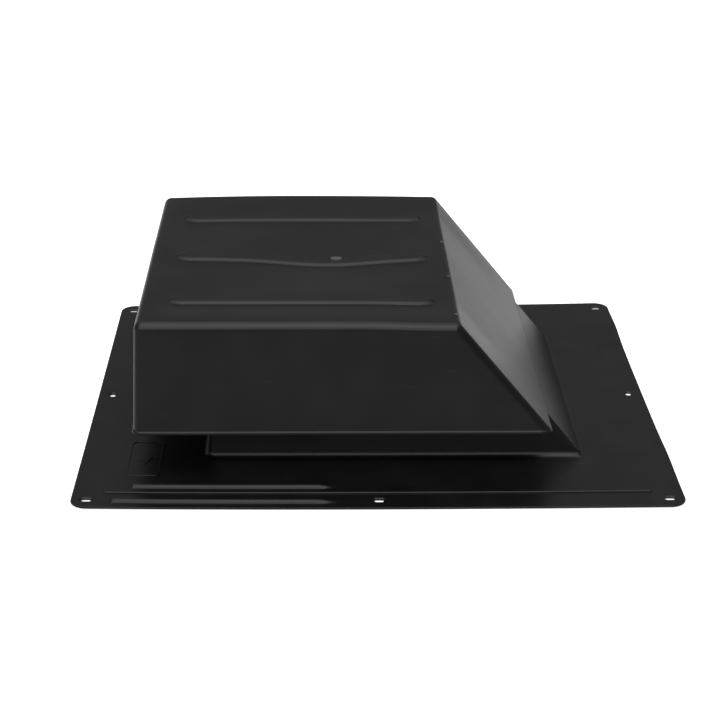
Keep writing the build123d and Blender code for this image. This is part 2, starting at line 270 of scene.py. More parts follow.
class Sewn:
    """Quad patches that become one mesh, sewn together where their edges meet."""

    def __init__(self):
        self.points = []
        self.quads = []
        self.count = 0

    def patch(self, grid, closed=False, keep=None):
        """Adds a grid of points (rows, columns, 3). keep says which cells to fill."""
        rows, columns = grid.shape[:2]
        index = self.count + np.arange(rows * columns).reshape(rows, columns)
        if closed:
            index = np.concatenate([index, index[:, :1]], 1)
        quads = np.stack([index[:-1, :-1], index[1:, :-1], index[1:, 1:], index[:-1, 1:]], -1)
        if keep is not None:
            quads = quads[keep]
        self.points.append(grid.reshape(-1, 3))
        self.quads.append(quads.reshape(-1, 4))
        self.count += rows * columns

    def mesh(self, warp):
        """A bmesh in metres of all patches, warped, with doubles merged."""
        points = warp(np.concatenate(self.points))
        data = bpy.data.meshes.new("sewn")
        data.from_pydata((points * MM).tolist(), [], np.concatenate(self.quads).tolist())
        bm = bmesh.new()
        bm.from_mesh(data)
        bpy.data.meshes.remove(data)
        bmesh.ops.remove_doubles(bm, verts=bm.verts, dist=0.004 * MM)
        bmesh.ops.dissolve_degenerate(bm, dist=0.002 * MM, edges=bm.edges)
        loose = [v for v in bm.verts if not v.link_faces]
        bmesh.ops.delete(bm, geom=loose, context="VERTS")
        bmesh.ops.recalc_face_normals(bm, faces=bm.faces)
        return bm


def grid_lines(stops, bands, coarse):
    """Grid lines through every stop. Each band (low, high, step) asks for finer lines."""
    samples = 300
    growth = 0.3
    lines = [stops[0]]
    for a, b in zip(stops, stops[1:]):
        at = np.linspace(a, b, samples)
        size = np.full(len(at), coarse)
        for low, high, step in bands:
            away = np.maximum(np.maximum(low - at, at - high), 0)
            size = np.minimum(size, step + growth * away)
        count = np.concatenate([[0], np.cumsum(np.diff(at) / size[1:])])
        shares = np.linspace(0, count[-1], max(1, round(count[-1])) + 1)
        lines += list(np.interp(shares[1:], count, at))
    return np.array(lines)


def perimeter(grid):
    """The points round the edge of a grid, once round."""
    return np.concatenate([grid[:-1, 0], grid[-1, :-1], grid[:0:-1, -1], grid[0, :0:-1]])


def smooth(t):
    """A soft step from 0 to 1."""
    t = np.clip(t, 0, 1)
    return t * t * (3 - 2 * t)


def unit(v):
    """Vectors made one long."""
    return v / np.linalg.norm(v, axis=-1, keepdims=True)


def turned(a, b, share):
    """Unit vectors at a share of the way along the arc from a to b, row by row."""
    a, b = np.broadcast_arrays(a, b)
    angle = np.arccos(np.clip((a * b).sum(-1, keepdims=True), -1, 1))
    return unit(np.sin((1 - share) * angle) * a + np.sin(share * angle) * b)


def make_piece(name, bm, slot, material, *nodes):
    """An object from a bmesh that rides on the vent and stands for CAD nodes."""
    data = bpy.data.meshes.new(name)
    bm.to_mesh(data)
    bm.free()
    data.polygons.foreach_set("use_smooth", [True] * len(data.polygons))
    data.set_sharp_from_angle(angle=radians(35))
    data.materials.append(material)
    piece = bpy.data.objects.new(name, data)
    bpy.context.scene.collection.objects.link(piece)
    weighted = piece.modifiers.new("weighted", "WEIGHTED_NORMAL")
    weighted.keep_sharp = True
    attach(piece, "root")
    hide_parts(*nodes)
    return piece


def add_prism(bm, outline, axis, low, high, bevel=0.3):
    """A prism along an axis, from a convex outline in the other two, with soft edges."""
    rings = []
    for level in (low, high):
        ring = []
        for point in outline:
            point = list(point)
            point.insert(axis, level)
            ring.append(bm.verts.new(Vector(point) * MM))
        rings.append(ring)
    faces = [bm.faces.new(rings[0]), bm.faces.new(rings[1])]
    faces += bridge(bm, *rings)
    bmesh.ops.recalc_face_normals(bm, faces=faces)
    edges = {e for f in faces for e in f.edges}
    bmesh.ops.bevel(
        bm, geom=list(edges), offset=bevel * MM, segments=2, affect="EDGES", profile=0.5
    )


def bridge(bm, low, high):
    """Quads between two closed rings of vertices."""
    count = len(low)
    pairs = [(i, (i + 1) % count) for i in range(count)]
    return [bm.faces.new((low[i], low[j], high[j], high[i])) for i, j in pairs]


def add_box(bm, low, high):
    """A box with soft edges between two corners."""
    (x0, y0, z0), (x1, y1, z1) = low, high
    add_prism(bm, [(x0, y0), (x1, y0), (x1, y1), (x0, y1)], 2, z0, z1)


def add_ring(bm, sections):
    """A ring-shaped body from rings of points that follow one another round its section."""
    rings = [[bm.verts.new(Vector(p) * MM) for p in section] for section in sections]
    faces = []
    for low, high in zip(rings, rings[1:] + rings[:1]):
        faces += bridge(bm, low, high)
    bmesh.ops.recalc_face_normals(bm, faces=faces)


def circle(x, y, z, radius, steps=28):
    """Points round a level circle."""
    turns = [2 * pi * i / steps for i in range(steps)]
    return [(x + radius * cos(t), y + radius * sin(t), z) for t in turns]


def post_places():
    """X and Y of the four posts."""
    return [tuple((box_mm(node)[0][:2] + box_mm(node)[1][:2]) / 2) for node in POST_NODES]


# ---------------------------------------------------------------- hood


def hood_warp(p):
    """The warp of the moulded hood: its top has sunk between its stiff rounded edges."""
    x, y, z = p.T
    held = 1 - HELD_SHARE * smooth((x - HELD_X) / HELD_REACH)
    inner_x = smooth((x - HOOD_LEFT_BOTTOM - SINK_START) / SINK_REACH_X) * held
    inner_y = smooth((HOOD_HALF_WIDTH - HOOD_EDGE_R - np.abs(y)) / SINK_REACH_Y)
    v = np.clip(y / RIDGE_SPACING, -1, 1)
    middle = np.exp(-(((x - HOLLOW_X) / HOLLOW_REACH) ** 2)) * (1 - v * v) ** 2
    sink = inner_x * inner_y * (SINK + SINK_BACK * smooth(v)) + SINK_MIDDLE * middle
    u = np.clip((x - BOW_X) / BOW_REACH, -1, 1)
    back_drop = np.where(u < 0, BACK_DROP_LEFT, BACK_DROP_RIGHT) * u * u
    front_drop = FRONT_DROP * smooth((x - FRONT_DROP_X) / FRONT_DROP_REACH)
    back = smooth(y / HOOD_HALF_WIDTH) * (BACK_RISE - back_drop)
    front = smooth(-y / HOOD_HALF_WIDTH) * (FRONT_RISE - front_drop)
    height = smooth((z - SKIRT_BOTTOM) / (HOOD_TOP - SKIRT_BOTTOM))
    out = p.copy()
    out[:, 2] += height * (back + front - sink)
    return out


def top_relief(x, y):
    """Height of the three flat-topped ridges on the hood's top."""
    relief = np.zeros_like(x)
    for centre in (-RIDGE_SPACING, 0.0, RIDGE_SPACING):
        past_end = np.maximum(RIDGE_LEFT + RIDGE_HALF_WIDTH - x, x - RIDGE_RIGHT + RIDGE_HALF_WIDTH)
        aside = np.hypot(y - centre, np.maximum(past_end, 0))
        relief += RIDGE_HEIGHT * smooth((RIDGE_HALF_WIDTH - aside) / RIDGE_FLANK)
    return relief


class HoodColumns:
    """The columns of quads round the hood, from its rim up over the rounded top edge.

    The hood is a block with flat faces, drawn in by the edge radius and then puffed out
    again, so every column has an anchor on the block, a wall direction and a normal.
    """

    STEPS = 7

    def __init__(self, top_x, top_y):
        left = unit(np.array((-1.0, 0.0, LEFT_LEAN)))
        right = unit(np.array((1.0, 0.0, SLANT_RUN)))
        front = np.array((0.0, -1.0, 0.0))
        back = np.array((0.0, 1.0, 0.0))
        down_left = np.array((-LEFT_LEAN, 0.0, -1.0))
        down_right = np.array((SLANT_RUN, 0.0, -1.0))
        columns = []
        x0, x1 = top_x[0], top_x[-1]
        y0, y1 = top_y[0], top_y[-1]

        def straight(points, normal, lip):
            for x, y in points:
                down = down_left + (down_right - down_left) * (x - x0) / (x1 - x0)
                columns.append(((x, y), normal, down, lip))

        def corner(x, y, a, b, down, lips):
            for i in range(1, self.STEPS):
                share = i / self.STEPS
                lip = np.interp(share, (0, 0.6, 1), lips)
                columns.append(((x, y), turned(a, b, share), down, lip))

        straight([(x0, y) for y in top_y[::-1]], left, 1)
        corner(x0, y0, left, front, down_left, (1, 1, 1))
        straight([(x, y0) for x in top_x], front, 1)
        corner(x1, y0, front, right, down_right, (1, 0.25, 0))
        straight([(x1, y) for y in top_y], right, 0)
        corner(x1, y1, right, back, down_right, (0, 0.35, 1))
        straight([(x, y1) for x in top_x[::-1]], back, 1)
        corner(x0, y1, back, left, down_left, (1, 1, 1))
        xy, normal, down, lip = zip(*columns)
        high = HOOD_TOP - HOOD_EDGE_R
        self.anchor = np.array([(x, y, high) for x, y in xy])
        self.normal = np.array(normal)
        self.down = np.array(down)
        self.lip = np.array(lip)[:, None]

    def wall(self, height, radius):
        """Every column's point on the wall at a height."""
        foot = self.anchor + radius * self.normal
        return foot + self.down * (foot[:, 2:] - height)

    def edge(self, radius):
        """Rows of points up the rounded top edge."""
        shares = [i / self.STEPS for i in range(self.STEPS + 1)]
        return [self.anchor + radius * turned(self.normal, UP, share) for share in shares]

    def rim(self):
        """Rows of points down the rim's lip, under it and up to the inner wall.

        Each pair is (distance outwards, height), with the lip and, at the ramp, without.
        """
        lip = [(0, 3), (0.05, 2.7), (0.3, 2.45), (0.65, 2.3), (0.95, 2.0), (1.1, 1.55)]
        lip += [(1.1, 0.5), (0.98, 0.18), (0.7, 0)]
        plain = [(0, 3), (0, 2.6), (0, 2.2), (0, 1.8), (0, 1.4), (0, 1.0)]
        plain += [(0, 0.5), (-0.01, 0.05), (-0.06, 0)]
        inside = [(-1.7, 0), (-2.05, 0.15), (-WALL, 0.5), (-WALL, 1.5)]
        flat = unit(self.normal * (1, 1, 0))
        rows = []
        for with_lip, without in zip(lip + inside, plain + inside):
            out, up = (self.lip * a + (1 - self.lip) * b for a, b in zip(with_lip, without))
            outer = self.wall(SKIRT_BOTTOM + up, HOOD_EDGE_R)
            inner = self.wall(SKIRT_BOTTOM + up, HOOD_EDGE_R - WALL)
            share = np.clip(-out / WALL, 0, 1)
            rows.append(outer + (inner - outer) * share + np.maximum(out, 0) * flat)
        return rows


def on_top(x, y):
    """Height of the finished top at a place."""
    x, y = np.array([x]), np.array([y])
    point = np.stack([x, y, HOOD_TOP + top_relief(x, y)], -1)
    return hood_warp(point)[0, 2]


def pale_places():
    """The gate's stub and the pips: (x, y, z, reach) of the paler colour round each."""
    places = [(*GATE, PALE_REACH)] + [(*pip, PIP_REACH) for pip in PIPS]
    return [(x, y, on_top(x, y), reach) for x, y, reach in places]


def add_moulding_marks(bm):
    """The gate's broken-off stub on the middle ridge, and pips beside the fold.

    The stub's pairs are (share of its half size, height), a pip's are (radius, height).
    """
    x, y = GATE
    level = on_top(x, y)
    stub = [(1.0, -1.0), (1.0, 0.35), (0.82, 0.6), (0.5, 0.15), (0.2, -0.4)]
    rings = []
    for share, rise in stub:
        outline = circle(0, 0, level + rise, share)
        rings.append([(x + GATE_SIZE[0] * px, y + GATE_SIZE[1] * py, z) for px, py, z in outline])
    add_ring(bm, rings)
    for x, y in PIPS:
        level = on_top(x, y) - 0.35
        pip = [(1.3, -1), (1.25, 0), (0.9, 0.4), (0.3, 0.6), (0.2, -1)]
        add_ring(bm, [circle(x, y, level + rise, radius) for radius, rise in pip])


def make_hood(material):
    """The hood: outer skin with ridges, rim, inner skin and four screw bosses."""
    high = HOOD_TOP - HOOD_EDGE_R
    y1 = HOOD_HALF_WIDTH - HOOD_EDGE_R
    left_wall = HOOD_LEFT_BOTTOM + (high - SKIRT_BOTTOM) * LEFT_LEAN
    x0 = left_wall + HOOD_EDGE_R * hypot(1, LEFT_LEAN)
    x1 = slant_x(high, HOOD_EDGE_R)
    x_bands = [(x0, x0, 1.5), (x1, x1, 1.5)]
    x_bands += [(x, x, 1.0) for x in (RIDGE_LEFT, RIDGE_RIGHT)]
    y_bands = [(-y1, -y1, 1.5), (y1, y1, 1.5)]
    for y in (-RIDGE_SPACING, 0, RIDGE_SPACING):
        y_bands.append((y - RIDGE_HALF_WIDTH, y + RIDGE_HALF_WIDTH, 0.9))
    top_x = grid_lines([x0, RIDGE_LEFT, RIDGE_RIGHT, x1], x_bands, 3.4)
    top_y = grid_lines([-y1, 0, y1], y_bands, 3.6)
    columns = HoodColumns(top_x, top_y)

    wall_top = high - 4.5
    heights = grid_lines([SKIRT_BOTTOM + 4, wall_top], [(wall_top, high, 2.5)], 8)
    outer, inner = (
        [columns.wall(z, radius) for z in heights] + columns.edge(radius)
        for radius in (HOOD_EDGE_R, HOOD_EDGE_R - WALL)
    )
    x, y = np.meshgrid(top_x, top_y, indexing="ij")
    sewn = Sewn()
    sewn.patch(np.array([inner[0]] + columns.rim()[::-1] + outer), closed=True)
    sewn.patch(np.array(inner), closed=True)
    sewn.patch(np.stack([x, y, HOOD_TOP + top_relief(x, y)], -1))
    sewn.patch(np.stack([x, y, np.full_like(x, HOOD_TOP - WALL)], -1))
    bm = sewn.mesh(hood_warp)
    bottom = box_mm(POST_NODES[0])[1][2]
    top = bottom + BOSS_HEIGHT
    boss = [(HOOD_PILOT_R, bottom), (BOSS_R - CHAMFER, bottom), (BOSS_R, bottom + CHAMFER)]
    boss += [(BOSS_R, top), (HOOD_PILOT_R, top)]
    for x, y in post_places():
        add_ring(bm, [circle(x, y, z, radius) for radius, z in boss])
    add_moulding_marks(bm)
    return make_piece("hood_shell", bm, "hood_plastic", material, "hood")


# ---------------------------------------------------------------- base


def base_warp(p):
    """The warp of the thin flange: three corners curl up and its right edge waves."""
    x, y = p[:, 0], p[:, 1]
    u, v = x / BASE_HIGH[0], y / BASE_HIGH[1]
    front, back = (
        np.where(u < 0, CORNER_CURL[-1, side], CORNER_CURL[1, side]) for side in (-1, 1)
    )
    curl = np.where(v < 0, front, back) * u * u * v * v
    bulges = sum(rise * np.exp(-(((y - at) / reach) ** 2)) for at, rise, reach in EDGE_BULGES)
    wave = bulges * smooth((u - BULGE_START) / (1 - BULGE_START))
    out = p.copy()
    out[:, 2] += curl + wave
    return out


def round_corners(x, y):
    """Moves grid points near the flange's four corners onto its rounded outline."""
    half_x, half_y = BASE_HIGH[:2] - FLANGE_CORNER_R
    u = np.maximum(np.abs(x) - half_x, 0)
    v = np.maximum(np.abs(y) - half_y, 0)
    radius = FLANGE_CORNER_R - EDGE_ROUND
    far = np.hypot(u, v)
    reach = radius * far / np.maximum(np.maximum(u, v), 1e-9)
    start = 0.9 * radius
    moved = (u > 0) & (v > 0) & (far > start)
    new = start + (far - start) * (radius - start) / np.maximum(reach - start, 1e-9)
    share = np.where(moved, new / np.maximum(far, 1e-9), 1)
    near = np.sign(x) * (half_x + u * share), np.sign(y) * (half_y + v * share)
    return np.where(moved, near[0], x), np.where(moved, near[1], y)


def inside_distance(x, y, half_x, half_y, radius):
    """Distance inside a rounded rectangle, negative outside."""
    over_x = np.abs(x) - half_x + radius
    over_y = np.abs(y) - half_y + radius
    outside = np.hypot(np.maximum(over_x, 0), np.maximum(over_y, 0))
    return radius - outside - np.minimum(np.maximum(over_x, over_y), 0)


def rounded_step(distance, width):
    """A step with a rounded top edge, from 0 to 1 over a width."""
    return np.sqrt(1 - (1 - np.clip(distance / width, 0, 1)) ** 2)


def bead_relief(x, y):
    """Height of the water beads over the sheet."""
    radius = (BEAD_WIDTH**2 / 4 + BEAD_HEIGHT**2) / (2 * BEAD_HEIGHT)
    flat = radius - BEAD_HEIGHT
    relief = np.zeros_like(x)
    for start, offset in BEADS:
        aside = np.hypot(np.abs(y) - offset, np.minimum(x - start, 0))
        size = radius - BEAD_HEIGHT * smooth((x - BEAD_END + BEAD_TAPER) / BEAD_TAPER)
        rise = np.sqrt(np.maximum(size**2 - aside**2, 0)) - flat
        relief = np.maximum(relief, rise)
    return relief


def flange_top(x, y):
    """Height of the flange's upper side."""
    half_x, half_y = BASE_HIGH[:2] - FIELD_MARGIN
    field = rounded_step(inside_distance(x, y, half_x, half_y, FIELD_CORNER_R), STEP_WIDTH)
    return SHEET + FIELD_RISE * field + bead_relief(x, y)


def flange_bottom(x, y):
    """Height of the flange's underside."""
    half_x, half_y = BASE_HIGH[:2] - FIELD_MARGIN - HOLLOW_MARGIN
    inside = inside_distance(x, y, half_x, half_y, FIELD_CORNER_R)
    return FIELD_RISE * rounded_step(inside, STEP_WIDTH / 2)


def nail_holes():
    """Every nail hole: (x, y, half the slot's straight length, radius)."""
    slots = MOUNTS["nail_slots_down_slope"]["dims"]
    sides = MOUNTS["side_nail_pair"]["dims"]
    radius = slots["hole_r_mm"]
    straight = slots["slot_length_mm"] / 2 - radius
    row_x = slots["spacing_x_mm"]
    row_y = slots["spacing_y_mm"] / 2
    holes = [(x, y, straight, radius) for x in (-row_x, 0.0, row_x) for y in (-row_y, row_y)]
    side_x = sides["spacing_x_mm"] / 2
    return holes + [(x, 0.0, 0.0, sides["hole_r_mm"]) for x in (-side_x, side_x)]


class Flange:
    """The flange's grid of points, upper and lower side, with blocks left out for holes."""

    def __init__(self, line_x, line_y):
        self.line_x = line_x
        self.line_y = line_y
        x, y = np.meshgrid(line_x, line_y, indexing="ij")
        x, y = round_corners(x, y)
        self.top = np.stack([x, y, flange_top(x, y)], -1)
        self.bottom = np.stack([x, y, flange_bottom(x, y)], -1)
        self.keep = np.ones((len(line_x) - 1, len(line_y) - 1), bool)

    def cut(self, x0, x1, y0, y1):
        """Leaves a block out and gives its outline, upper and lower, and its lines."""
        i0, i1 = (int(np.abs(self.line_x - x).argmin()) for x in (x0, x1))
        j0, j1 = (int(np.abs(self.line_y - y).argmin()) for y in (y0, y1))
        self.keep[i0:i1, j0:j1] = False
        block = np.s_[i0 : i1 + 1, j0 : j1 + 1]
        lines = self.line_x[i0 : i1 + 1], self.line_y[j0 : j1 + 1]
        return perimeter(self.top[block]), perimeter(self.bottom[block]), lines

    def edge(self):
        """Rows of points round the outer edge, from the upper side to the lower."""
        upper, lower = perimeter(self.top), perimeter(self.bottom)
        inner = BASE_HIGH[:2] - FLANGE_CORNER_R
        away = upper[:, :2] - np.clip(upper[:, :2], -inner, inner)
        out = np.concatenate([unit(away), np.zeros((len(upper), 1))], 1)
        rows = [upper]
        for turn in (0.25, 0.5, 0.75, 1):
            across, down = sin(turn * pi / 2), 1 - cos(turn * pi / 2)
            rows.append(upper + EDGE_ROUND * (out * across - UP * down))
        rows += [lower + EDGE_ROUND * out + UP * 0.2, lower + 0.6 * EDGE_ROUND * out, lower]
        return np.array(rows)


def nail_hole(sewn, flange, hole, block):
    """One nail hole with its shallow dish, sewn into the flange."""
    x, y, straight, radius = hole
    upper, lower, _ = flange.cut(x - block[0], x + block[0], y - block[1], y + block[1])
    core = np.array([(x + np.clip(px - x, -straight, straight), y) for px in upper[:, 0]])
    away = unit(upper[:, :2] - core)

    def ring(size, height):
        return np.concatenate([core + size * away, np.full((len(away), 1), height)], 1)

    floor = SHEET - DISH_DEPTH
    dish = [(DISH_MARGIN + 0.25, SHEET), (DISH_MARGIN - 0.05, SHEET - 0.1)]
    dish += [(1.05, floor + 0.1), (0.8, floor), (0.12, floor), (0, floor - 0.12)]
    rows = [upper] + [ring(radius + more, height) for more, height in dish]
    rows += [ring(radius, 0.15), ring(radius + 0.12, 0), lower]
    sewn.patch(np.array(rows), closed=True)


class CurbColumns:
    """The columns of quads up the curb, one for each point round its block of the flange.

    Its four corners are numbered from the front left one, against the clock. A column
    stands at a share of the way from corner a to corner b, on their rounding at an angle.
    """

    ARC = 5
    LEAST_R = 0.8

    def __init__(self, lines):
        front = unit(np.array((0.0, -1.0, DRAFT)))
        back = front * (1, -1, 1)
        left = unit(np.array((-1.0, 0.0, DRAFT)))
        right = unit(np.array((1.0, 0.0, SLANT_RUN)))
        walls = [front, right, back, left]
        line_x, line_y = lines
        columns = []
        for side, line in enumerate((line_x, line_y, line_x[::-1], line_y[::-1])):
            n, k = len(line) - 1, self.ARC
            next_side = (side + 1) % 4
            turn = 90 * side - 90
            for i in range(n):
                if i < k:
                    share = 0.5 + 0.5 * i / k
                    normal = turned(walls[side - 1], walls[side], share)
                    columns.append((side, side, 0, turn - 90 + 90 * share, normal))
                elif i > n - k:
                    share = 0.5 * (i - n + k) / k
                    normal = turned(walls[side], walls[next_side], share)
                    columns.append((next_side, next_side, 0, turn + 90 * share, normal))
                else:
                    share = (line[i] - line[k]) / (line[n - k] - line[k])
                    columns.append((side, next_side, share, turn, walls[side]))
        a, b, share, turn, normal = zip(*columns)
        self.a, self.b = np.array(a), np.array(b)
        self.share = np.array(share)
        self.turn = np.radians(turn)
        self.normal = np.array(normal)

    def mix(self, *corners):
        """A value given at the four corners, at every column."""
        table = np.array([np.broadcast_to(value, self.a.shape) for value in corners])
        each = np.arange(len(self.a))
        return table[self.a, each] * (1 - self.share) + table[self.b, each] * self.share

    def ring(self, height, inset=0.0, stepped=False):
        """The curb's outline at one height, or at each column's own height.

        Where it is stepped, the ramp lies lower, to let in the hood's slanted panel.
        """
        height = np.broadcast_to(height, self.a.shape)
        lean = inset + (height - FIELD_TOP) * DRAFT
        stretch = hypot(1, SLANT_RUN)
        left_r = max(CURB_CORNER_R - inset, self.LEAST_R)
        right_r = max(RAMP_EDGE_R - inset, self.LEAST_R)
        left = CURB_LEFT + lean + left_r
        right = slant_x(height, inset + stepped * (WALL + LAP_GAP)) - right_r * stretch
        near, far = CURB_HALF_WIDTH - lean - left_r, CURB_HALF_WIDTH - lean - right_r
        centre_x = self.mix(left, right, right, left)
        centre_y = self.mix(-near, -far, far, near)
        radius_x = self.mix(left_r, right_r * stretch, right_r * stretch, left_r)
        radius_y = self.mix(left_r, right_r, right_r, left_r)
        x = centre_x + radius_x * np.cos(self.turn)
        y = centre_y + radius_y * np.sin(self.turn)
        return np.stack([x, y, height], -1)

    def foot(self):
        """Rows of points up the fillet at the curb's foot."""
        flat = unit(self.normal * (1, 1, 0))
        rise = self.normal[:, 2:]
        reach = CURB_FOOT_R * (1 - rise) / np.sqrt(1 - rise**2)
        centre = self.ring(FIELD_TOP) + flat * reach + UP * CURB_FOOT_R
        shares = np.linspace(0, 1, 9)
        return [centre - CURB_FOOT_R * turned(UP, self.normal, share) for share in shares]


def curb(sewn, flange, block):
    """Curb and ramp: foot, outer wall, rim, inner wall and the throat's lower edge."""
    upper, lower, lines = flange.cut(*block)
    columns = CurbColumns(lines)
    rows = [upper] + columns.foot()
    start = rows[-1][:, 2]
    step = SKIRT_BOTTOM - SHOWN_LAP_GAP
    for share in (0.2, 0.4, 0.6, 0.8, 0.97, 1):
        rows.append(columns.ring(start + (step - start) * share))
    for height in (step, *OUTER_ROWS, CURB_TOP - 0.5):
        rows.append(columns.ring(height, 0, True))
    for inset, drop in ((0.15, 0.15), (0.5, 0), (1.7, 0), (2.05, 0.15), (WALL, 0.5)):
        rows.append(columns.ring(CURB_TOP - drop, inset, True))
    for height in (*INNER_ROWS, step - WALL):
        rows.append(columns.ring(height, WALL, True))
    for height in (step - WALL, *THROAT_ROWS, FIELD_RISE + 0.3):
        rows.append(columns.ring(height, WALL))
    rows += [columns.ring(FIELD_RISE, WALL - 0.3), lower]
    sewn.patch(np.array(rows), closed=True)
    return columns


def ledge(sewn, columns):
    """The rim inside the throat that the screen is held up against."""
    bottom = SCREEN_HIGH[2]
    top = bottom + LEDGE_THICKNESS
    outer = columns.ring(bottom, WALL / 2)
    low = (LEDGE_LEFT, -LEDGE_HALF_WIDTH, bottom)
    high = (LEDGE_RIGHT, LEDGE_HALF_WIDTH, bottom)
    opening = np.clip(outer, low, high)
    soft = 0.3
    away = unit(outer - opening) * soft
    rows = [outer, opening + away, opening + UP * soft, opening + UP * (LEDGE_THICKNESS - soft)]
    rows += [opening + away + UP * LEDGE_THICKNESS, columns.ring(top, WALL / 2), outer]
    sewn.patch(np.array(rows), closed=True)


def add_lugs(bm):
    """Shelves on the curb's side walls, on two gussets each, that carry the posts."""
    top = box_mm(POST_NODES[0])[0][2]
    bottom = top - LUG_THICKNESS
    under, foot = bottom + OVERLAP, bottom - GUSSET_DROP
    inwards = LUG_HALF_WIDTH - GUSSET
    for x, y in post_places():
        side = 1 if y > 0 else -1
        inner, outer = side * LUG_INNER_Y, side * (CURB_HALF_WIDTH - LUG_SUNK)
        low, high = sorted((inner, outer))
        add_box(bm, (x - LUG_HALF_WIDTH, low, bottom), (x + LUG_HALF_WIDTH, high, top))
        for gusset in (x - LUG_HALF_WIDTH, x + inwards):
            outline = [(inner, under), (outer, under), (outer, foot)]
            add_prism(bm, outline, 0, gusset, gusset + GUSSET)


def add_screw_bosses(bm):
    """The small bosses on the ledge that the screen's screws go into."""
    bottom = SCREEN_HIGH[2]
    top = bottom + SCREEN_BOSS_HEIGHT
    boss = [(SCREEN_PILOT_R, bottom), (SCREEN_BOSS_R, bottom + OVERLAP)]
    boss += [(SCREEN_BOSS_R, top - CHAMFER), (SCREEN_BOSS_R - CHAMFER, top)]
    boss += [(SCREEN_PILOT_R, top)]
    for x, y in screen_screw_places():
        add_ring(bm, [circle(x, y, z, radius) for radius, z in boss])


def add_mark(bm):
    """The raised framed arrow that points up the slope."""
    x, y = MARK_PLACE
    low, high = FIELD_TOP - MARK_SUNK, FIELD_TOP + MARK_HEIGHT
    soft = MARK_SOFT
    half_x, half_y = (size / 2 - MARK_CORNER_R for size in MARK_SIZE)
    sections = [(0, low), (0, high - soft), (soft, high), (MARK_LINE - soft, high)]
    rings = []
    for inset, level in sections + [(MARK_LINE, high - soft), (MARK_LINE, low)]:
        ring = []
        for corner, (sx, sy) in enumerate(((1, 1), (-1, 1), (-1, -1), (1, -1))):
            for step in range(9):
                turn = radians(90 * corner + 90 * step / 8)
                px = x + sx * half_x + (MARK_CORNER_R - inset) * cos(turn)
                py = y + sy * half_y + (MARK_CORNER_R - inset) * sin(turn)
                ring.append((px, py, level))
        rings.append(ring)
    add_ring(bm, rings)
    tail, tip, head = x - ARROW_REACH, x + ARROW_REACH, x - soft
    near, far = y - STEM_HALF_WIDTH, y + STEM_HALF_WIDTH
    add_prism(bm, [(tail, near), (x, near), (x, far), (tail, far)], 2, low, high, soft)
    near, far = y - HEAD_HALF_WIDTH, y + HEAD_HALF_WIDTH
    add_prism(bm, [(head, near), (tip, y), (head, far)], 2, low, high, soft)


def flange_lines(curb_block, holes):
    """The flange's grid lines along X and along Y."""
    lines = []
    for axis in (0, 1):
        edge = BASE_HIGH[axis] - EDGE_ROUND
        field = BASE_HIGH[axis] - FIELD_MARGIN
        ends = curb_block[2 * axis : 2 * axis + 2]
        stops = {-edge, edge, *ends}
        bands = [(at, at, 0.9) for at in (-edge, edge)] + [(at, at, 1.8) for at in ends]
        for depth in STEP_LINES:
            stops |= {field - depth, depth - field}
        for hole, block in holes:
            span = hole[axis] - block[axis], hole[axis] + block[axis]
            stops |= set(span)
            bands.append((*span, 1.0))
        for bead in BEADS:
            if axis == 0:
                bands.append((bead[0] - BEAD_WIDTH / 2, bead[0], 0.7))
                continue
            for centre in (-bead[1], bead[1]):
                span = centre - BEAD_WIDTH / 2, centre + BEAD_WIDTH / 2
                stops |= {*span, centre}
                bands.append((*span, 0.5))
        ordered = sorted(stops)
        apart = [b for a, b in zip([-np.inf] + ordered, ordered) if b - a > 0.02]
        lines.append(grid_lines(apart, bands, 4.6))
    return lines


def make_base(material):
    """The base: flange, beads, nail holes, curb, ramp, ledge, lugs and mark."""
    right, side = slant_x(FIELD_TOP) + 8, CURB_HALF_WIDTH + 10
    curb_block = (CURB_LEFT - 10, right, -side, side)
    holes = [(hole, SLOT_BLOCK if hole[2] else HOLE_BLOCK) for hole in nail_holes()]
    flange = Flange(*flange_lines(curb_block, holes))
    sewn = Sewn()
    columns = curb(sewn, flange, curb_block)
    for hole, block in holes:
        nail_hole(sewn, flange, hole, block)
    sewn.patch(flange.top, keep=flange.keep)
    sewn.patch(flange.bottom, keep=flange.keep)
    sewn.patch(flange.edge(), closed=True)
    ledge(sewn, columns)
    bm = sewn.mesh(base_warp)
    add_lugs(bm)
    add_screw_bosses(bm)
    add_mark(bm)
    return make_piece("base_moulding", bm, "base_plastic", material, "base_flashing")


# ---------------------------------------------------------------- insect screen


def make_screen(material):
    """Woven wire mesh in place of the plain sheet."""
    pitch, radius = WIRE_PITCH, WIRE_R
    middle = (SCREEN_LOW[2] + SCREEN_HIGH[2]) / 2
    rise = SCREEN_HIGH[2] - middle - radius
    bm = bmesh.new()
    for axis in (0, 1):
        other = 1 - axis
        wires = int((SCREEN_HIGH[other] - SCREEN_LOW[other]) / pitch)
        steps = int((SCREEN_HIGH[axis] - SCREEN_LOW[axis]) / pitch)
        along = np.linspace(SCREEN_LOW[axis] + 0.2, SCREEN_HIGH[axis] - 0.2, 2 * steps + 1)
        for wire in range(wires):
            offset = SCREEN_LOW[other] + (wire + 0.5) * pitch
            rings = []
            for index, at in enumerate(along):
                wave = (0, 1, 0, -1)[(index + 2 * wire) % 4] * (1 if axis else -1)
                ring = []
                for turn in (0.25, 0.75, 1.25, 1.75):
                    point = [0.0, 0.0, middle + wave * rise + radius * sin(turn * pi)]
                    point[axis] = at
                    point[other] = offset + radius * cos(turn * pi)
                    ring.append(bm.verts.new(Vector(point) * MM))
                rings.append(ring)
            for low, high in zip(rings, rings[1:]):
                bridge(bm, low, high)
            bm.faces.new(rings[0])
            bm.faces.new(rings[-1])
    bmesh.ops.recalc_face_normals(bm, faces=bm.faces)
    return make_piece("woven_screen", bm, "screen_mesh", material, "insect_screen")


# ---------------------------------------------------------------- materials


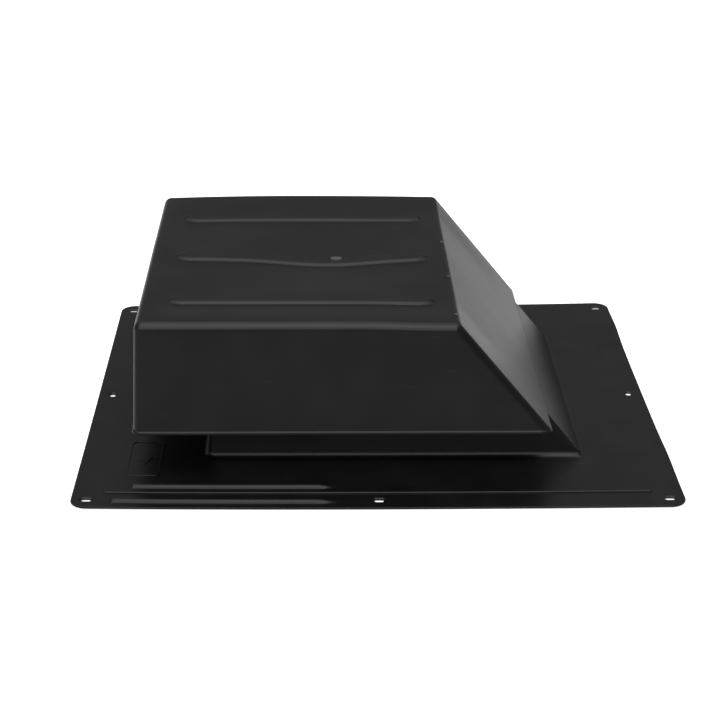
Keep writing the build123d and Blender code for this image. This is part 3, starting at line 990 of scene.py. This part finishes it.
class Nodes:
    """A node tree: every added node's inputs are values or other nodes' outputs."""

    def __init__(self, tree):
        self.tree = tree

    def add(self, kind, inputs=(), **settings):
        """Adds a node and gives its outputs by name."""
        node = self.tree.nodes.new(kind)
        for setting, value in settings.items():
            setattr(node, setting, value)
        for socket, value in dict(inputs).items():
            self.join(node.inputs[socket], value)
        return node.outputs

    def join(self, socket, value):
        if isinstance(value, bpy.types.NodeSocket):
            self.tree.links.new(socket, value)
        else:
            socket.default_value = value

    def ramp(self, value, low, high, to_low=0.0, to_high=1.0):
        """A soft step of a value, from to_low at low to to_high at high."""
        inputs = {"Value": value, "From Min": low, "From Max": high}
        inputs |= {"To Min": to_low, "To Max": to_high}
        return self.add("ShaderNodeMapRange", inputs, interpolation_type="SMOOTHSTEP")["Result"]

    def math(self, operation, a, b):
        return self.add("ShaderNodeMath", {0: a, 1: b}, operation=operation)["Value"]


class Graph(Nodes):
    """The nodes of a material round its shader, with what is the same all over set on it."""

    def __init__(self, name, **uniform):
        self.material = bpy.data.materials.new(name)
        self.material.use_nodes = True
        super().__init__(self.material.node_tree)
        self.shader = self.tree.nodes["Principled BSDF"]
        for socket, value in uniform.items():
            self.shader.inputs[socket.replace("_", " ")].default_value = value
        self.place = self.add("ShaderNodeTexCoord")["Object"]

    def noise(self, scale, detail=4.0, stretch=(1, 1, 1)):
        """Noise from 0 to 1; scale counts features to a metre."""
        place = self.add("ShaderNodeMapping", {"Vector": self.place, "Scale": stretch})
        inputs = {"Vector": place["Vector"], "Scale": scale, "Detail": detail}
        return self.add("ShaderNodeTexNoise", inputs)["Fac"]

    def mix(self, share, a, b):
        """A mix of two colours."""
        inputs = {"Factor": share, 6: (*a, 1) if isinstance(a, tuple) else a, 7: (*b, 1)}
        return self.add("ShaderNodeMix", inputs, data_type="RGBA")[2]

    def spots(self, scale, radius, density):
        """Sparse round dots, 1 inside a dot: scale counts cells to a metre."""
        inputs = {"Vector": self.place, "Scale": scale}
        cells = self.add("ShaderNodeTexVoronoi", inputs)
        dot = self.ramp(cells["Distance"], radius, 0.5 * radius)
        chosen = self.add("ShaderNodeSeparateColor", {"Color": cells["Color"]})["Red"]
        return self.math("MULTIPLY", dot, self.math("LESS_THAN", chosen, density))

    def finish(self, color, roughness, *bumps):
        """Joins colour, roughness and a chain of (height, distance in metres) bumps."""
        self.join(self.shader.inputs["Base Color"], color)
        self.join(self.shader.inputs["Roughness"], roughness)
        normal = None
        for height, distance in bumps:
            inputs = {"Height": height, "Distance": distance, "Strength": 1.0}
            if normal is not None:
                inputs["Normal"] = normal
            normal = self.add("ShaderNodeBump", inputs)["Normal"]
        if normal is not None:
            self.join(self.shader.inputs["Normal"], normal)
        return self.material


def moulded_black(name, tone, rough, pale_spots=()):
    """Black polypropylene: satin, faintly mottled, with faint scuffs and a little dust.

    Each pale place is (x, y, z, reach): round it the colour is mixed towards a paler tone.
    """
    graph = Graph(name, IOR=PLASTIC_IOR)
    mottle = graph.noise(26, 5)
    flow = graph.noise(16, 3, (1, 1.6, 1.3))
    grain = graph.noise(1900, 2)
    scuff = graph.ramp(graph.noise(60, 6, (1, 9, 4)), 0.66, 0.74)
    dust = graph.spots(150, 0.08, 0.04)
    dark = tuple(0.72 * c for c in tone)
    light = tuple(1.3 * c for c in tone)
    color = graph.mix(graph.ramp(mottle, 0.35, 0.68), dark, light)
    color = graph.mix(graph.math("MULTIPLY", scuff, 0.06), color, SCUFF_TONE)
    color = graph.mix(graph.math("MULTIPLY", dust, 0.3), color, DUST_TONE)
    # Round the gate's stub and each pip the colour is mixed towards a paler tone
    for x, y, z, reach in pale_spots:
        inputs = {0: graph.place, 1: (x * MM, y * MM, z * MM)}
        away = graph.add("ShaderNodeVectorMath", inputs, operation="DISTANCE")["Value"]
        pale = graph.ramp(away, reach * MM, 0.75 * reach * MM)
        color = graph.mix(graph.math("MULTIPLY", pale, 0.6), color, PALE_SPOT_TONE)
    roughness = graph.ramp(flow, 0.3, 0.7, rough - 0.008, rough + 0.008)
    roughness = graph.math("ADD", roughness, graph.math("MULTIPLY", scuff, 0.1))
    waves = graph.noise(11, 2)
    return graph.finish(
        color, roughness, (waves, 0.00006), (mottle, 0.00001), (grain, 0.000012)
    )


def zinc_steel(name):
    """Zinc-plated screws: dull bluish steel with a fine brushed grain and dark stains."""
    graph = Graph(name, Metallic=1.0)
    cloud = graph.noise(180, 4)
    brushed = graph.noise(900, 3, (1, 1, 0.1))
    color = graph.mix(graph.ramp(cloud, 0.35, 0.7), (0.5, 0.51, 0.53), (0.66, 0.66, 0.64))
    stain = graph.ramp(graph.noise(320, 5), 0.6, 0.72, 0.0, 0.6)
    color = graph.mix(stain, color, (0.22, 0.2, 0.18))
    return graph.finish(color, graph.ramp(brushed, 0.2, 0.8, 0.26, 0.48), (brushed, 0.00004))


def butyl(name):
    """Soft black sealant: matt, a little lumpy, with a greasy sheen in patches."""
    graph = Graph(name)
    lumps = graph.noise(240, 4)
    color = graph.mix(graph.ramp(lumps, 0.3, 0.7), (0.016, 0.016, 0.016), (0.035, 0.034, 0.032))
    patches = graph.ramp(graph.noise(70, 3), 0.4, 0.65, 0.45, 0.8)
    return graph.finish(color, patches, (lumps, 0.0004))


def wire(name):
    """Aluminium screen wire, dulled by oxide, with paler and darker stretches."""
    graph = Graph(name, Metallic=1.0)
    cloud = graph.noise(45, 5)
    color = graph.mix(graph.ramp(cloud, 0.35, 0.7), (0.34, 0.35, 0.36), (0.52, 0.53, 0.54))
    return graph.finish(
        color, graph.ramp(graph.noise(400, 3), 0.3, 0.7, 0.38, 0.6), (graph.noise(1600, 2), 0.00002)
    )


def matt_black(name, tone, rough):
    """The black plastic of the hidden parts: unpolished, with ejector swirls and dust."""
    graph = Graph(name, IOR=PLASTIC_IOR)
    cloud = graph.noise(55, 5)
    sparkle = graph.noise(1400, 2)
    color = graph.mix(
        graph.ramp(cloud, 0.3, 0.7), tuple(0.75 * c for c in tone), tuple(1.35 * c for c in tone)
    )
    dust = graph.math("MULTIPLY", graph.spots(240, 0.12, 0.2), 0.25)
    color = graph.mix(dust, color, DUST_TONE)
    swirl = graph.ramp(graph.noise(90, 3, (1, 1, 0.3)), 0.3, 0.7, rough - 0.07, rough + 0.07)
    return graph.finish(color, swirl, (cloud, 0.0002), (sparkle, 0.00003))


def dress_nodes():
    """Gives every CAD node that still shows its material."""
    frame_black = matt_black("frame_black", (0.02, 0.02, 0.02), 0.55)
    post_black = matt_black("post_black", (0.022, 0.022, 0.022), 0.5)
    zinc = zinc_steel("zinc")
    looks = {"screen_frame": frame_black, "ramp_seal": butyl("butyl")}
    looks |= {"hood_screws": zinc, "screen_screws": zinc}
    looks |= {node: post_black for node in POST_NODES}
    for node, material in looks.items():
        data = bpy.data.objects[node].data
        data.materials.clear()
        data.materials.append(material)


# ---------------------------------------------------------------- stage, camera and light


def make_stage():
    """The plain pale floor. Its white bounce is left to the world's even light."""
    data = bpy.data.meshes.new("floor")
    half = FLOOR_HALF
    corners = [(-half, -half, 0), (half, -half, 0), (half, half, 0), (-half, half, 0)]
    data.from_pydata(corners, [], [(0, 1, 2, 3)])
    floor = bpy.data.objects.new("floor", data)
    floor.location.z = FLOOR_LEVEL
    bpy.context.scene.collection.objects.link(floor)
    graph = Graph("floor_white", Roughness=0.9)
    graph.shader.inputs["Base Color"].default_value = (0.9, 0.9, 0.9, 1)
    graph.shader.inputs["Emission Color"].default_value = (1, 1, 1, 1)
    graph.shader.inputs["Emission Strength"].default_value = 0.9
    data.materials.append(graph.material)
    floor.visible_glossy = False
    floor.visible_diffuse = False


def make_camera():
    """The photograph's viewpoint, found from the flange's corners and the hood's edges."""
    data = bpy.data.cameras.new("camera")
    data.sensor_width = 36
    data.lens = CAMERA_LENS
    camera = bpy.data.objects.new("camera", data)
    yaw, pitch, roll = CAMERA_YAW, CAMERA_PITCH, CAMERA_ROLL
    forward = Vector((sin(yaw) * cos(pitch), cos(yaw) * cos(pitch), -sin(pitch)))
    right = Vector((cos(yaw), -sin(yaw), 0))
    up = right.cross(forward)
    across = cos(roll) * right + sin(roll) * up
    upward = -sin(roll) * right + cos(roll) * up
    matrix = Matrix((across, upward, -forward)).transposed().to_4x4()
    matrix.translation = Vector(CAMERA_PLACE) * MM
    camera.matrix_world = matrix
    bpy.context.scene.collection.objects.link(camera)
    bpy.context.scene.camera = camera


def area_light(name, place, target, size, power):
    """A soft box at a place, turned to a target."""
    data = bpy.data.lights.new(name, "AREA")
    data.shape = "RECTANGLE"
    data.size, data.size_y = size
    data.energy = power
    lamp = bpy.data.objects.new(name, data)
    lamp.location = place
    lamp.rotation_euler = (Vector(target) - Vector(place)).to_track_quat("-Z", "Y").to_euler()
    bpy.context.scene.collection.objects.link(lamp)


def make_world():
    """A studio's light: a white sweep behind, below the horizon, a bright ceiling and a box
    in front that stops short of the right-hand side.

    The camera sees plain white where it looks past the floor.
    """
    world = bpy.data.worlds.new("studio")
    bpy.context.scene.world = world
    world.use_nodes = True
    nodes = Nodes(world.node_tree)
    nodes.tree.nodes.clear()
    add, step, math = nodes.add, nodes.ramp, nodes.math
    way = add("ShaderNodeTexCoord")["Generated"]
    xyz = add("ShaderNodeSeparateXYZ", {"Vector": way})
    low_down = step(xyz["Z"], *BACKDROP_FADE, 1.0, 0.0)
    turned_back = math("ADD", xyz["Y"], math("MULTIPLY", xyz["X"], BACKDROP_TURN))
    behind = step(turned_back, *BACKDROP_SIDE, 0.0, 1.0)
    backdrop = math("MULTIPLY", math("MULTIPLY", low_down, behind), BACKDROP)
    facing = step(xyz["Y"], *BOX_SIDE, 0.0, 1.0)
    above = step(xyz["Z"], *BOX_FOOT, 0.0, 1.0)
    not_right = step(xyz["X"], *BOX_RIGHT, 1.0, 0.0)
    spread = math("MULTIPLY", above, not_right)
    box = math("MULTIPLY", math("MULTIPLY", facing, spread), FRONT_BOX)
    floor = step(xyz["Z"], *FLOOR_FADE, FLOOR_BOUNCE, WALLS)
    ceiling = step(xyz["Z"], *CEILING_FADE, 0.0, CEILING)
    strength = math("ADD", math("ADD", floor, ceiling), math("ADD", box, backdrop))
    studio = add("ShaderNodeBackground", {"Strength": strength})["Background"]
    white = add("ShaderNodeBackground", {"Strength": 1.0})["Background"]
    seen = add("ShaderNodeLightPath")["Is Camera Ray"]
    mixed = add("ShaderNodeMixShader", {0: seen, 1: studio, 2: white})["Shader"]
    add("ShaderNodeOutputWorld", {"Surface": mixed})


def make_lights():
    """One big soft box overhead, towards the front; the world gives the rest."""
    area_light("overhead", OVERHEAD_PLACE, OVERHEAD_TARGET, OVERHEAD_SIZE, OVERHEAD)


make_hood(moulded_black("hood_black", PLASTIC_TONE, 0.31, pale_places()))
make_base(moulded_black("base_black", PLASTIC_TONE, 0.33))
make_screen(wire("screen_wire"))
dress_nodes()
make_stage()
make_camera()
make_lights()
make_world()
bpy.context.scene.view_settings.view_transform = "Standard"
